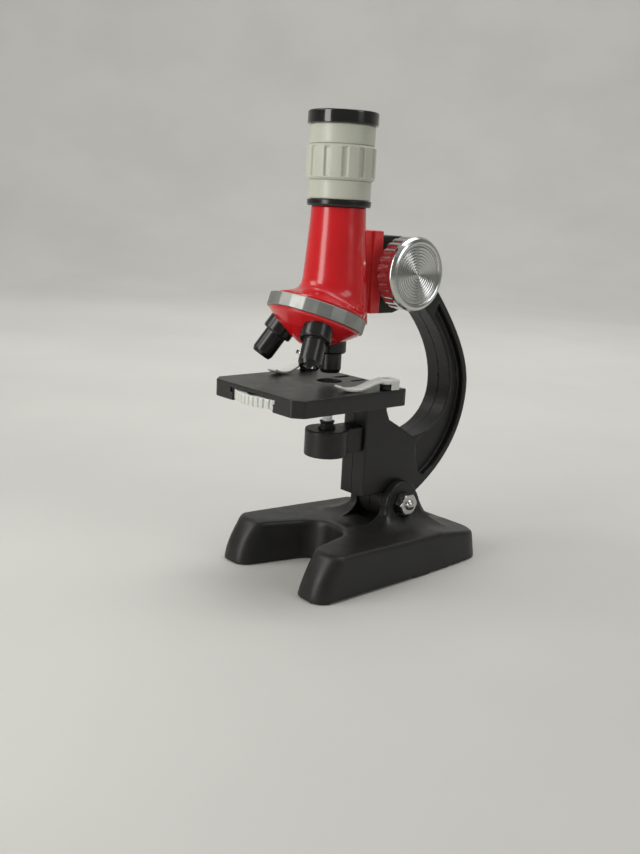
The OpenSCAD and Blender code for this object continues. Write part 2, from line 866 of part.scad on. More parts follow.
base();
base_feet();
tilt_bolt();
bolt_washer();
tilt_nut();
arm_right();
arm_left();
arm_screws();
battery_cover();
cover_screw();
button_cells();
battery_contacts();
lamp_leads();
stage();
clip_posts();
stage_clip_right();
stage_clip_left();
wheel_screw();
filter_wheel();
colour_filters();
lamp_housing();
lamp_retainer();
bulb_collar();
bulb();
lamp_mirror();
tube();
rack_block();
turret_screw();
tube_collar();
eyepiece_barrel();
eyepiece_collar();
eyecup();
ocular_lens();
zoom_grip();
zoom_lens_cell();
zoom_lens();
turret_ring();
nosepiece();
objective_low();
objective_mid();
objective_high();
objective_lenses();
pinion();
focus_shaft();
knob_right();
knob_left();
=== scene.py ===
import json
import math

import bmesh
import bpy
import numpy as np
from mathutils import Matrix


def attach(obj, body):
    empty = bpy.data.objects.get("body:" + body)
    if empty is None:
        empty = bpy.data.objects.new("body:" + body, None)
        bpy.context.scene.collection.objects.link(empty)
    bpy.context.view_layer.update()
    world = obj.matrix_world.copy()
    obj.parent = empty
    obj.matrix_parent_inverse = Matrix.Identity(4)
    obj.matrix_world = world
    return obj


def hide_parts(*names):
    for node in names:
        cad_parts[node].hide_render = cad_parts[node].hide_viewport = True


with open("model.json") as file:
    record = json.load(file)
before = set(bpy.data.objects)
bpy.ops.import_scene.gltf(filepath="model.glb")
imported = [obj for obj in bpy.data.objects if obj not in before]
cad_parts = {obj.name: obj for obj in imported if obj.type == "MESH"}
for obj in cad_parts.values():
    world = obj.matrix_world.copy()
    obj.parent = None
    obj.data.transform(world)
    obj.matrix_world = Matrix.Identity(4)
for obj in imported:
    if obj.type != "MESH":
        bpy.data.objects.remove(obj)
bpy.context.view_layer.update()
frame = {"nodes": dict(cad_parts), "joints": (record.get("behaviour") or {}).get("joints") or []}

import openvdb as vdb
from mathutils import Matrix, Vector

# Pieces are drawn in millimetres with the optical axis at X = 0, Y = 0, then moved into the row frame.
CENTRE_Y = 22.5
MM = 0.001


def joint_place(name):
    """Where a CAD joint is, in the pieces' millimetres."""
    joint = next(j for j in frame["joints"] if j["name"] == name)
    x, y, z = joint["pos_m"]
    return round(x / MM, 3), round(y / MM + CENTRE_Y, 3), round(z / MM, 3)


_, TILT_Y, TILT_Z = joint_place("arm_tilt")
_, FOCUS_Y, FOCUS_Z = joint_place("focus_turn")
_, TURRET_Y, TURRET_Z = joint_place("turret_turn")
_, WHEEL_Y, _ = joint_place("filter_turn")
LAMP_Z = joint_place("lamp_flip")[2]
POST_X, POST_Y, _ = joint_place("clip_right_swing")
LEAN = math.radians(20)     # the turret's axis leans this far from the optical axis
BOLT_BORE = 2.56


# ---- Materials ----

class Nodes:
    """A short way to build a material's node tree."""

    def __init__(self, name):
        self.mat = bpy.data.materials.new(name)
        self.mat.use_nodes = True
        self.tree = self.mat.node_tree
        self.shader = self.tree.nodes["Principled BSDF"]
        self.coords = self.add("ShaderNodeTexCoord").outputs["Object"]

    def add(self, kind, **values):
        node = self.tree.nodes.new(kind)
        for key, value in values.items():
            if hasattr(node, key):
                setattr(node, key, value)
            else:
                node.inputs[key.replace("_", " ")].default_value = value
        return node

    def link(self, a, b):
        self.tree.links.new(a, b)

    def noise(self, scale, detail=3.0, stretch=None):
        node = self.add("ShaderNodeTexNoise", Scale=scale, Detail=detail, Roughness=0.55)
        source = self.coords
        if stretch:
            mapping = self.add("ShaderNodeMapping")
            mapping.inputs["Scale"].default_value = stretch
            self.link(source, mapping.inputs["Vector"])
            source = mapping.outputs["Vector"]
        self.link(source, node.inputs["Vector"])
        return node.outputs["Fac"]

    def remap(self, value, low, high, at=(0.3, 0.7)):
        node = self.add("ShaderNodeMapRange")
        for key, v in (("From Min", at[0]), ("From Max", at[1]), ("To Min", low), ("To Max", high)):
            node.inputs[key].default_value = v
        self.link(value, node.inputs["Value"])
        return node.outputs["Result"]

    def colours(self, value, a, b, at=(0.35, 0.65)):
        ramp = self.add("ShaderNodeValToRGB")
        ramp.color_ramp.elements[0].position, ramp.color_ramp.elements[1].position = at
        ramp.color_ramp.elements[0].color = (*a, 1)
        ramp.color_ramp.elements[1].color = (*b, 1)
        self.link(value, ramp.inputs["Fac"])
        return ramp.outputs["Color"]

    def bump(self, value, strength, distance):
        node = self.add("ShaderNodeBump", Strength=strength, Distance=distance)
        self.link(value, node.inputs["Height"])
        if self.shader.inputs["Normal"].is_linked:
            self.link(self.shader.inputs["Normal"].links[0].from_socket, node.inputs["Normal"])
        self.link(node.outputs["Normal"], self.shader.inputs["Normal"])


def plastic(name, dark, light, rough, grain=9000, grain_depth=0.000012, coat=0.0, sss=0.0, spec=0.5):
    """Moulded plastic: slow colour variation, uneven polish and a fine moulded grain."""
    m = Nodes(name)
    sh = m.shader
    m.link(m.colours(m.noise(38, 4), dark, light), sh.inputs["Base Color"])
    m.link(m.remap(m.noise(160, 5), rough[0], rough[1]), sh.inputs["Roughness"])
    sh.inputs["Specular IOR Level"].default_value = spec
    sh.inputs["Coat Weight"].default_value = coat
    sh.inputs["Coat Roughness"].default_value = 0.06
    if sss:
        sh.inputs["Subsurface Weight"].default_value = sss
        sh.inputs["Subsurface Radius"].default_value = (1.0, 0.9, 0.75)
        sh.inputs["Subsurface Scale"].default_value = 0.002
    m.bump(m.noise(grain, 2), 0.35, grain_depth)
    m.bump(m.noise(120, 2), 0.2, 0.00004)
    return m.mat


def metal(name, dark, light, rough, stretch, scale=900, depth=0.00001):
    """Plated or turned metal with fine lines along one direction and faint smudges."""
    m = Nodes(name)
    sh = m.shader
    sh.inputs["Metallic"].default_value = 1.0
    m.link(m.colours(m.noise(60, 5), dark, light), sh.inputs["Base Color"])
    m.link(m.remap(m.noise(220, 6), rough[0], rough[1]), sh.inputs["Roughness"])
    m.bump(m.noise(scale, 3, stretch=stretch), 0.3, depth)
    return m.mat


def clear(name, tint, rough, trans, ior=1.49):
    """Glass or clear plastic with a faint tint."""
    m = Nodes(name)
    sh = m.shader
    m.link(m.colours(m.noise(90, 3), tuple(c * 0.94 for c in tint), tint), sh.inputs["Base Color"])
    m.link(m.remap(m.noise(300, 4), rough, rough * 1.6 + 0.01), sh.inputs["Roughness"])
    sh.inputs["Transmission Weight"].default_value = trans
    sh.inputs["IOR"].default_value = ior
    m.bump(m.noise(400, 2), 0.15, 0.00002)
    return m.mat


BLACK = plastic("black_plastic", (0.0105, 0.0100, 0.0092), (0.0145, 0.0140, 0.0130), (0.36, 0.46), spec=0.42)
BLACK_SATIN = plastic("black_satin", (0.0120, 0.0117, 0.0110), (0.0160, 0.0155, 0.0145), (0.31, 0.38),
                      5000, 0.000003)
BLACK_SMOOTH = plastic("black_smooth", (0.007, 0.0068, 0.0062), (0.011, 0.0105, 0.0098), (0.2, 0.28),
                       5000, 0.000004)
BLACK_GLOSS = plastic("black_gloss", (0.006, 0.0058, 0.0054), (0.010, 0.0095, 0.009), (0.14, 0.2),
                      4000, 0.000002, 0.5)
RED = plastic("red_plastic", (0.60, 0.0075, 0.012), (0.68, 0.0100, 0.016), (0.2, 0.27),
              5000, 0.000004, 0.3, 0.06)
# Painted light: the rack block's red is paler and lighter than the tube's red, to stand in for the light it
# misses in the shade between the tube and the knob.
RED_PAINTED_LIGHT = plastic("red_plastic_block_painted_light", (0.84, 0.050, 0.054), (0.90, 0.056, 0.060), (0.26, 0.36),
                   5000, 0.000005, 0.1)
WHITE = plastic("white_plastic", (0.53, 0.545, 0.46), (0.585, 0.60, 0.51), (0.3, 0.4),
                6000, 0.000006, 0.1, 0.15)
PEARL = plastic("clear_white_plastic", (0.62, 0.64, 0.60), (0.70, 0.72, 0.68), (0.28, 0.38),
                6000, 0.000006, 0.1, 0.4)
BULB = plastic("bulb_plastic", (0.72, 0.73, 0.74), (0.80, 0.81, 0.82), (0.2, 0.3),
               6000, 0.000003, 0.3, 0.5)
GREY = plastic("grey_plastic", (0.16, 0.16, 0.165), (0.22, 0.22, 0.225), (0.35, 0.45))
RUBBER = plastic("rubber", (0.016, 0.016, 0.016), (0.028, 0.028, 0.028), (0.75, 0.9), 3000, 0.00004)
WIRE = plastic("wire_red", (0.4, 0.02, 0.02), (0.5, 0.03, 0.03), (0.35, 0.5))
EVEN = (1, 1, 1)
CHROME = metal("silver_plating", (0.56, 0.57, 0.55), (0.66, 0.67, 0.65), (0.13, 0.21), EVEN, 500, 0.000006)
# Satin plating for the turret ring. The rougher finish is real, but the colour is painted darker than the
# knobs' plating as painted shade that tones down the strip lamp's reflection in the ring's facets.
CHROME_SATIN_PAINTED_SHADE = metal("silver_plating_satin_painted_shade", (0.31, 0.32, 0.30), (0.38, 0.39, 0.37), (0.42, 0.52),
                     EVEN, 500, 0.000006)
STEEL = metal("nickel_steel", (0.50, 0.50, 0.49), (0.62, 0.62, 0.61), (0.2, 0.32), (1, 6, 6), 900, 0.00001)
BRASS = metal("brass", (0.55, 0.38, 0.14), (0.66, 0.47, 0.19), (0.25, 0.38), (6, 1, 1))
GLASS = clear("lens_glass", (0.86, 0.94, 0.96), 0.02, 0.95, 1.52)
MIRROR = metal("mirror_glass", (0.86, 0.88, 0.9), (0.9, 0.92, 0.93), (0.02, 0.05), EVEN, 200, 0.000001)
FILTER = clear("filter_pale", (0.93, 0.88, 0.78), 0.08, 0.7)


# ---- Mesh helpers ----

def to_row(points):
    """From the pieces' millimetres to the row frame's metres."""
    p = np.array(points, dtype=np.float64).reshape(-1, 3)
    return (p - np.array([0, CENTRE_Y, 0])) * MM


def add_piece(name, mesh, mat, body, replaced):
    """Puts a mesh in the scene as a piece that rides on a CAD body and stands for CAD nodes."""
    for poly in mesh.polygons:
        poly.use_smooth = True
    obj = bpy.data.objects.new(name, mesh)
    bpy.context.scene.collection.objects.link(obj)
    mesh.materials.append(mat)
    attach(obj, body)
    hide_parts(*replaced)
    return obj


def smooth_piece(name, points, faces, normals, mat, body, replaced):
    """A piece from points in millimetres, with its own smooth normals."""
    mesh = bpy.data.meshes.new(name)
    mesh.from_pydata(to_row(points).tolist(), [], faces)
    mesh.validate()
    mesh.update()
    obj = add_piece(name, mesh, mat, body, replaced)
    mesh.normals_split_custom_set_from_vertices([tuple(n) for n in normals])
    return obj


def gradient(f, p, e=0.05):
    """The field's slope at each point, from samples e on both sides."""
    g = np.empty_like(p)
    for axis in range(3):
        a, b = p.copy(), p.copy()
        a[:, axis] += e
        b[:, axis] -= e
        g[:, axis] = (f(a[:, 0], a[:, 1], a[:, 2]) - f(b[:, 0], b[:, 1], b[:, 2])) / (2 * e)
    return g


def field_piece(name, f, low, high, step, mat, body, replaced, adapt=0.0, soft=0.16):
    """A piece from a distance field f(x, y, z) in millimetres, meshed and then fitted to the field.

    adapt merges flat areas into larger faces, and soft is how far apart the normals are sampled.
    """
    low, high = np.array(low, float) - 2 * step, np.array(high, float) + 2 * step
    count = np.ceil((high - low) / step).astype(int) + 1
    axes = [low[i] + step * np.arange(count[i]) for i in range(3)]
    x, y, z = np.meshgrid(*axes, indexing="ij", sparse=True)
    values = np.broadcast_to(f(x, y, z), count)
    volume = vdb.FloatGrid()
    volume.copyFromArray(np.ascontiguousarray(values, dtype=np.float32))
    points, tris, quads = volume.convertToPolygons(isovalue=0.0, adaptivity=adapt)
    p = points.astype(np.float64) * step + low
    for _ in range(3):
        g = gradient(f, p)
        size = np.maximum((g * g).sum(1), 0.05)
        move = -(f(p[:, 0], p[:, 1], p[:, 2]) / size)[:, None] * g
        length = np.linalg.norm(move, axis=1, keepdims=True)
        p += move * np.minimum(1, 0.4 * step / np.maximum(length, 1e-9))
    n = gradient(f, p, soft)
    n /= np.maximum(np.linalg.norm(n, axis=1, keepdims=True), 1e-9)
    faces = [tuple(int(i) for i in face) for face in [*tris, *quads]]
    return smooth_piece(name, p, faces, n, mat, body, replaced)


def rounded(corners, steps=5):
    """A profile with round corners, given as (r, z, radius). Returns its points and their outward normals."""
    pts, nrm = [], []
    count = len(corners)
    for i, (r, z, rad) in enumerate(corners):
        p = np.array([r, z], float)
        prev = np.array(corners[i - 1][:2], float) if i else None
        after = np.array(corners[i + 1][:2], float) if i < count - 1 else None
        if prev is None or after is None:
            d = (after - p) if prev is None else (p - prev)
            d /= np.linalg.norm(d)
            pts.append(p)
            nrm.append([d[1], -d[0]])
            continue
        a, b = p - prev, after - p
        la, lb = np.linalg.norm(a), np.linalg.norm(b)
        a, b = a / la, b / lb
        turn = math.acos(max(-1, min(1, float(a @ b))))
        cut = min(rad * math.tan(turn / 2), 0.48 * la, 0.48 * lb)
        n1, n2 = np.array([a[1], -a[0]]), np.array([b[1], -b[0]])
        s, e = p - a * cut, p + b * cut
        for k in range(steps + 1):
            t = k / steps
            q = (1 - t) ** 2 * s + 2 * t * (1 - t) * p + t * t * e
            n = (1 - t) * n1 + t * n2
            pts.append(q)
            nrm.append((n / np.linalg.norm(n)).tolist())
    return np.array(pts), np.array(nrm)


UPRIGHT = Matrix.Identity(4)


def along(origin, turn=UPRIGHT):
    """The matrix of a piece whose own Z is turned by turn, then moved to origin."""
    return Matrix.Translation(Vector(origin)) @ turn


def turned(name, corners, place, mat, body, replaced, seg=96, groove=None, steps=5):
    """A turned piece. Its corners run counter-clockwise; groove(angle, r, z) lowers the radius."""
    pts, nrm = rounded(corners, steps)
    closed = np.linalg.norm(pts[0] - pts[-1]) < 1e-6
    if closed:
        pts, nrm = pts[:-1], nrm[:-1]
    rows = len(pts)
    angles = 2 * math.pi * np.arange(seg) / seg
    c, s = np.cos(angles)[None], np.sin(angles)[None]
    r, z = pts[:, :1], pts[:, 1:]
    radius = np.repeat(r, seg, 1) - (groove(angles[None], r, z) if groove else 0)
    xyz = np.stack([radius * c, radius * s, np.repeat(z, seg, 1)], -1)
    normals = np.stack([nrm[:, :1] * c, nrm[:, :1] * s, np.repeat(nrm[:, 1:], seg, 1)], -1)
    if groove:
        # Grooved rows take their normals from the surface itself.
        across = np.cross(np.roll(xyz, -1, 1) - np.roll(xyz, 1, 1), np.gradient(xyz, axis=0))
        lengths = np.linalg.norm(across, axis=-1, keepdims=True)
        grooved = np.abs(radius - np.repeat(r, seg, 1)).max(1) >= 1e-6
        measured = np.where(lengths > 1e-7, across / np.maximum(lengths, 1e-9), normals)
        normals[grooved] = measured[grooved]
    index = np.arange(rows * seg).reshape(rows, seg)
    if not closed:
        # A row on the axis shrinks to one point.
        for i in (0, rows - 1):
            if pts[i][0] < 1e-6:
                index[i] = index[i][0]
    faces = []
    for i in range(rows if closed else rows - 1):
        a, b = index[i], index[(i + 1) % rows]
        for k in range(seg):
            m = (k + 1) % seg
            corners_of_face = tuple(dict.fromkeys(int(v) for v in (a[k], a[m], b[m], b[k])))
            if len(corners_of_face) > 2:
                faces.append(corners_of_face)
    used = sorted({v for f in faces for v in f})
    new = {v: i for i, v in enumerate(used)}
    faces = [tuple(new[v] for v in f) for f in faces]
    matrix = np.array(place)
    p = xyz.reshape(-1, 3)[used] @ matrix[:3, :3].T + matrix[:3, 3]
    n = normals.reshape(-1, 3)[used] @ matrix[:3, :3].T
    return smooth_piece(name, p, faces, n, mat, body, replaced)


def flat_ring(name, outline, z0, z1, place, mat, body, replaced, edge, segments, hole):
    """A flat-sided ring: an outline made thick along Z, with bevelled edges and a bore of radius hole."""
    bm = bmesh.new()
    count = len(outline)
    rings = []
    for z in (z0, z1):
        rings.append([bm.verts.new((x, y, z)) for x, y in outline])
    for i in range(count):
        j = (i + 1) % count
        bm.faces.new((rings[0][i], rings[0][j], rings[1][j], rings[1][i]))
    start = math.atan2(outline[0][1], outline[0][0])
    angles = [2 * math.pi * (i + 0.5) / count + start for i in range(count)]
    inner = []
    for z in (z0, z1):
        inner.append([bm.verts.new((hole * math.cos(a), hole * math.sin(a), z)) for a in angles])
    for i in range(count):
        j = (i + 1) % count
        bm.faces.new((inner[0][j], inner[0][i], inner[1][i], inner[1][j]))
        for outer, bore, flip in ((rings[0], inner[0], True), (rings[1], inner[1], False)):
            for corners in ((outer[i], outer[j], bore[i]), (outer[j], bore[j], bore[i])):
                bm.faces.new(corners[::-1] if flip else corners)
    bm.normal_update()
    sharp = [e for e in bm.edges if e.calc_face_angle(0) > math.radians(8)]
    bmesh.ops.bevel(bm, geom=sharp, offset=edge, segments=segments, profile=0.5, affect="EDGES",
                    clamp_overlap=True)
    bm.transform(Matrix(place))
    bm.transform(Matrix.Scale(MM, 4) @ Matrix.Translation(Vector((0, -CENTRE_Y, 0))))
    mesh = bpy.data.meshes.new(name)
    bm.to_mesh(mesh)
    bm.free()
    obj = add_piece(name, mesh, mat, body, replaced)
    obj.modifiers.new("normals", "WEIGHTED_NORMAL").keep_sharp = True
    mesh.set_sharp_from_angle(angle=math.radians(40))
    return obj


# ---- Distance fields ----

def smin(a, b, k):
    """Union with a hollow fillet about k wide."""
    h = np.clip(0.5 + 0.5 * (b - a) / k, 0, 1)
    return b + (a - b) * h - k * h * (1 - h)


def smax(a, b, k):
    """Intersection with a rounded edge about k wide; a cut when b is negative."""
    return -smin(-a, -b, k)


def both(a, b, r):
    """Intersection with an edge of radius r."""
    a, b = a + r, b + r
    return np.minimum(np.maximum(a, b), 0) + np.hypot(np.maximum(a, 0), np.maximum(b, 0)) - r


def block(x, y, z, low, high, r=0.4):
    """A box between two corners, with edges of radius r."""
    c = [(low[i] + high[i]) / 2 for i in range(3)]
    h = [(high[i] - low[i]) / 2 - r for i in range(3)]
    qx, qy, qz = np.abs(x - c[0]) - h[0], np.abs(y - c[1]) - h[1], np.abs(z - c[2]) - h[2]
    outside = np.sqrt(np.maximum(qx, 0) ** 2 + np.maximum(qy, 0) ** 2 + np.maximum(qz, 0) ** 2)
    return outside + np.minimum(np.maximum(qx, np.maximum(qy, qz)), 0) - r


def drum(u, v, w, radius, w0, w1, r=0.4):
    """A cylinder along w."""
    return both(np.hypot(u, v) - radius, np.abs(w - (w0 + w1) / 2) - (w1 - w0) / 2, r)


def polygon(u, v, pts):
    """Signed distance to a closed outline."""
    pts = np.array(pts, float)
    u, v = np.broadcast_arrays(u, v)
    best = np.full(u.shape, 1e9)
    inside = np.zeros(u.shape, bool)
    for i in range(len(pts)):
        (x1, y1), (x2, y2) = pts[i], pts[(i + 1) % len(pts)]
        ex, ey = x2 - x1, y2 - y1
        wx, wy = u - x1, v - y1
        t = np.clip((wx * ex + wy * ey) / (ex * ex + ey * ey), 0, 1)
        best = np.minimum(best, (wx - ex * t) ** 2 + (wy - ey * t) ** 2)
        if y1 != y2:
            crosses = ((y1 > v) != (y2 > v)) & (u < ex * (v - y1) / ey + x1)
            inside ^= crosses
    d = np.sqrt(best)
    return np.where(inside, -d, d)


def bezier(p, n=14):
    """Points along a cubic curve with the four control points p."""
    p = np.array(p, float)
    t = np.linspace(0, 1, n + 1)[:, None]
    s = 1 - t
    return s ** 3 * p[0] + 3 * s * s * t * p[1] + 3 * s * t * t * p[2] + t ** 3 * p[3]


# ---- Base ----

BASE_H = 22
BASE_HALF = 41
DECK_Z = 18.4       # the floor between the ears
EAR_GAP = 8.8


def base_plan(x, y, z, inset):
    """The outline at height z: the fronts lean back in a curve and the top narrows to the rear."""
    lift = np.clip(z / BASE_H, 0, 1.05)
    w = np.clip((2 - y) / 30, 0, 1)
    w = w * w * (3 - 2 * w)
    ys = y - 10 * lift ** 1.7 * w + 2 * lift * np.clip((y - 50) / 36, 0, 1)
    xs = np.abs(x) * (1 + lift * (0.022 + 0.05 * np.clip((y + 15) / 50, 0, 1)))
    return base_outline(xs, ys) + inset


def base_outline(x, y):
    """Distance to the base's outline: flat sides, round tips and a round back."""
    tip_x, tip_y, tip_r = 32.2, -26.7, 8.8
    q = np.hypot(np.maximum(x - tip_x, 0), np.minimum(y - tip_y, 0))
    tip = np.where((x > tip_x) & (y < tip_y), q - tip_r, np.maximum(x - BASE_HALF, tip_y - tip_r - y))
    rear_x, rear_y, rear_r = 22.6, 66.5, 19.5
    qx, qy = x - rear_x, y - rear_y
    back = np.where((qx > 0) & (qy > 0), np.hypot(qx, qy) - rear_r, np.maximum(qx, qy) - rear_r)
    taper = (x - BASE_HALF) * math.cos(math.radians(5)) + (y - 48) * math.sin(math.radians(5))
    return smax(smax(tip, back, 1.0), taper, 3.0)


def notch_field(x, y, z, grow):
    """The notch between the prongs: a round end and straight sides that open to its mouth in front."""
    t = np.clip(z / BASE_H, -0.1, 1.1)
    cx, cy, r = 2.5 + 0.5 * t, -6.5 + 2 * t, 11.5 + t + grow
    mouth_x, mouth_y = 23.5 + 4.5 * t, -44.0
    vx, vy = mouth_x - cx, mouth_y - cy
    length = np.hypot(vx, vy)
    ang = np.arctan2(vy, vx) + np.arccos(np.clip((11.5 + t) / length, -1, 1))
    nx, ny = np.cos(ang), np.sin(ang)
    ax = np.abs(x)
    qx, qy = ax - cx, y - cy
    side = qx * nx + qy * ny - r
    beyond = qx * -ny + qy * nx > 0
    cap = np.where(qx > 0, np.hypot(qx, qy), np.abs(qy)) - r
    return np.where(beyond & (qy > -r), cap, side)


def base_top(y):
    """Height of the sloping top."""
    return np.minimum(BASE_H - 0.036 * (y + 25), 19.27 - (y - 51) * 0.16)


def base_shape(x, y, z, wall):
    """The base without its ears. A wall above 0 gives its inside."""
    top = (z - base_top(y)) * 0.99
    sides = smax(base_plan(x, y, z, wall), -notch_field(x, y, z, wall), 2.2 if wall else 7.0)
    return smax(sides, top + wall, 2.4)


FRONT_FOOT = (28.6, -21)
REAR_FOOT = (21, 68)
EAR_SIDE = [(33.2, 30.7), (33.2, 16), (67, 16), (67, 20), (62.8, 23), (60, 26.7), (57.4, 31), (55.9, 34.4)]


def ear_field(x, y, z):
    """The two ears that hold the tilt bolt."""
    d = smin(np.hypot(y - TILT_Y, z - TILT_Z) - 11.5, polygon(y, z, EAR_SIDE), 0.8)
    return both(d, np.abs(np.abs(x) - 11.4) - 2.6, 1.0)


def skirt_field(x, y, z):
    """The ears' root: sweeps out to both sides and to the front in a hollow curve."""
    low = base_top(y)
    h = np.clip((z - low) / (TILT_Z - low), 0, 1)
    out = (1 - h) ** 2.5
    back = (1 - h) ** 1.6
    side = (np.abs(x) - 13.8 - 11 * out) * 0.75
    front = (33.4 - 10.5 * out - y) * 0.75
    rear = (y - 55.5 - 11 * back) * 0.75
    return smax(smax(side, front, 2.0), np.maximum(rear, np.abs(z - 24) - 6.7), 1.0)


def base_field(x, y, z):
    """The base as a hollow shell with ears, skirt, the arm's slot, foot bosses and a deck."""
    d = base_shape(x, y, z, 0.0)
    hollow = np.maximum(base_shape(x, y, z, 2.4), z - 19.6)
    d = smax(d, -np.where(z < 30, hollow, 9.0), 0.5)
    skirt = np.maximum(skirt_field(x, y, z), base_top(y) - 3.4 - z)
    d = smin(d, skirt, 3.0)
    d = smin(d, ear_field(x, y, z), 2.0)
    slot = block(x, y, z, (-EAR_GAP, 33.2, DECK_Z), (EAR_GAP, 90, 80), 0.5)
    front = both(np.abs(x) - EAR_GAP, base_top(y) - z, 0.5)
    slot = np.minimum(slot, np.maximum(front, 14 - y))
    slot = np.where(y > 62, np.maximum(slot, base_top(y) - z), slot)
    d = smax(d, -slot, 0.9)
    # Round seats for the nut and the washer
    ax = np.abs(x)
    hub = np.hypot(y - TILT_Y, z - TILT_Z)
    d = smax(d, -both(hub - 7.0, 14.02 - ax, 0.3), 0.5)
    d = np.maximum(d, -(hub - BOLT_BORE))
    for (cx, cy), r, top in ((FRONT_FOOT, 4.6, 18), (REAR_FOOT, 6, 14)):
        d = np.minimum(d, drum(ax - cx, y - cy, z, r, 1.2, top, 0.3))
    deck = block(x, y, z, (-10.8, 26, 15.4), (10.8, 66, DECK_Z), 0.3)
    d = np.minimum(d, deck)
    return np.maximum(d, 0.6 - z)


field_piece("base_shell", base_field, (-42, -37, 0), (42, 87, 43),
            0.62, BLACK, "root", ("base",), 0.06)

for side, hand in ((1, "right"), (-1, "left")):
    for end, (cx, cy), r in (("front", FRONT_FOOT, 4), ("rear", REAR_FOOT, 5)):
        turned(f"foot_{hand}_{end}", [(0, 0, 0), (r, 0, 0.35), (r, 1.2, 0.1), (0, 1.2, 0)],
               along((side * cx, cy, 0)), RUBBER, "root", ("base_feet",), 40)

TO_X = Matrix.Rotation(math.radians(90), 4, "Y")


def cross_head(x, y, z, r, z0, z1, arm, width, depth, dome=0.5):
    """A screw head along +Z with a cross recess in its top."""
    d = drum(x, y, z, r, z0, z1, dome)
    ax, ay = np.abs(x), np.abs(y)
    cut = np.minimum(np.maximum(ax - arm, ay - width), np.maximum(ay - arm, ax - width))
    return smax(d, -np.maximum(cut, z1 - depth - z), 0.12)


def bolt_field(x, y, z):
    """The tilt bolt: cross head on the left, thread and domed end on the right."""
    u, v, w = y - TILT_Y, z - TILT_Z, x
    shank = drum(u, v, w, 2.5, -17, 20.6, 0.2)
    ball = np.sqrt(u * u + v * v + (w - 18.45) ** 2) - 3.05
    d = np.minimum(shank, np.maximum(ball, 18.5 - w))
    threads = np.where(w > 14, 0.16 * np.cos(2 * math.pi * (w / 0.8 - np.arctan2(v, u) / (2 * math.pi))), 0)
    d = np.where(np.hypot(u, v) > 2.0, d + np.where(w < 19.6, np.abs(threads), 0), d)
    return np.minimum(d, cross_head(u, v, -w, 5, 15.2, 18.6, 3.1, 0.6, 1.4, 1.2))


field_piece("tilt_bolt_metal", bolt_field, (-19, 39, 25), (22, 50, 36.5),
            0.25, STEEL, "root", ("tilt_bolt",), 0.05, 0.05)
turned("tilt_washer", [(2.6, 0, 0.1), (6.2, 0, 0.2), (6.2, 1, 0.2), (2.6, 1, 0.1), (2.6, 0, 0.1)],
       along((-15.1, TILT_Y, TILT_Z), TO_X), STEEL, "root", ("bolt_washer",), 48)


def nut_field(x, y, z):
    """A hexagon nut on the bolt, with both faces chamfered."""
    u, v, w = y - TILT_Y, z - TILT_Z, x - 14.1
    flats = -1e9
    for k in range(3):
        a = math.radians(60 * k + 30)
        flats = np.maximum(flats, np.abs(u * math.cos(a) + v * math.sin(a)) - 5.37)
    r = np.hypot(u, v)
    outer_cone = (r - 6.05 + (w - 4.5) * 0.9) * 0.74
    inner_cone = (r - 6.1 - w * 1.4) * 0.58
    d = smax(smax(flats, np.abs(w - 2.5) - 2.5, 0.25), outer_cone, 0.25)
    return smax(smax(d, inner_cone, 0.2), -(r - BOLT_BORE), 0.2)


field_piece("tilt_nut_hex", nut_field, (14, 38, 24), (19.3, 51, 37.4),
            0.2, STEEL, "root", ("tilt_nut",), 0.05, 0.06)


# ---- Arm ----

# The arm's side view as (Y, Z): the outer and the inner curve of its C
BACK = np.vstack([bezier([[42, 166], [82, 128], [96, 106], [96, 88]]),
                  bezier([[96, 88], [96, 68], [86, 48], [60, 33]])[1:]])
INSIDE = np.vstack([bezier([[49, 139.5], [67, 127], [81.3, 109], [81.3, 90]]),
                    bezier([[81.3, 90], [81.3, 76], [70, 66], [55, 64.5]])[1:]])


def shifted(path, d):
    """The path moved sideways by d."""
    out = []
    for i in range(len(path)):
        a, b = path[max(i - 1, 0)], path[min(i + 1, len(path) - 1)]
        t = (b - a) / np.linalg.norm(b - a)
        out.append(path[i] + d * np.array([-t[1], t[0]]))
    return np.array(out)


ARM_OUTLINE = (
    [tuple(p) for p in BACK]
    + [(54.6, 27), (48.5, 22.7), (40.5, 30.7), (34.5, 36.2)]
    + [(19.4, 36.2), (19.4, 89.7), (8.6, 89.7), (8.6, 95.6), (18.4, 95.6), (18.4, 91.1)]
    + [(33.4, 90.1), (33.8, 81), (36.2, 75.7), (44, 71.2)]
    + [tuple(p) for p in INSIDE[::-1]]
    + [(47, 138.4), (41, 134), (33, 131.4), (22, 131.4), (22, 169.5), (36, 169.5)]
)
POCKET = (
    [tuple(p) for p in shifted(BACK, -3.3) if 45 < p[1] < 136]
    + [(66, 41.8), (61.8, 43.6), (59.2, 50.8), (58, 60), (60, 62.8)]
    + [tuple(p) for p in shifted(INSIDE, 1.8)[::-1] if p[0] > 62 and p[1] < 136]
)


ARM_HALF = 8.5
POCKET_HALF = 4.7       # half the web that is left between the side pockets
# Wells for the case screws on the left side: the X of each one's floor, then its Y and Z
SCREW_WELLS = [(-4.5, 87.8, 91), (-4.5, 76.6, 121), (-4.5, 69, 51), (-6.5, 35.5, 162), (-6.5, 24, 44)]
DOOR_SCREW = (29.5, 77.2)


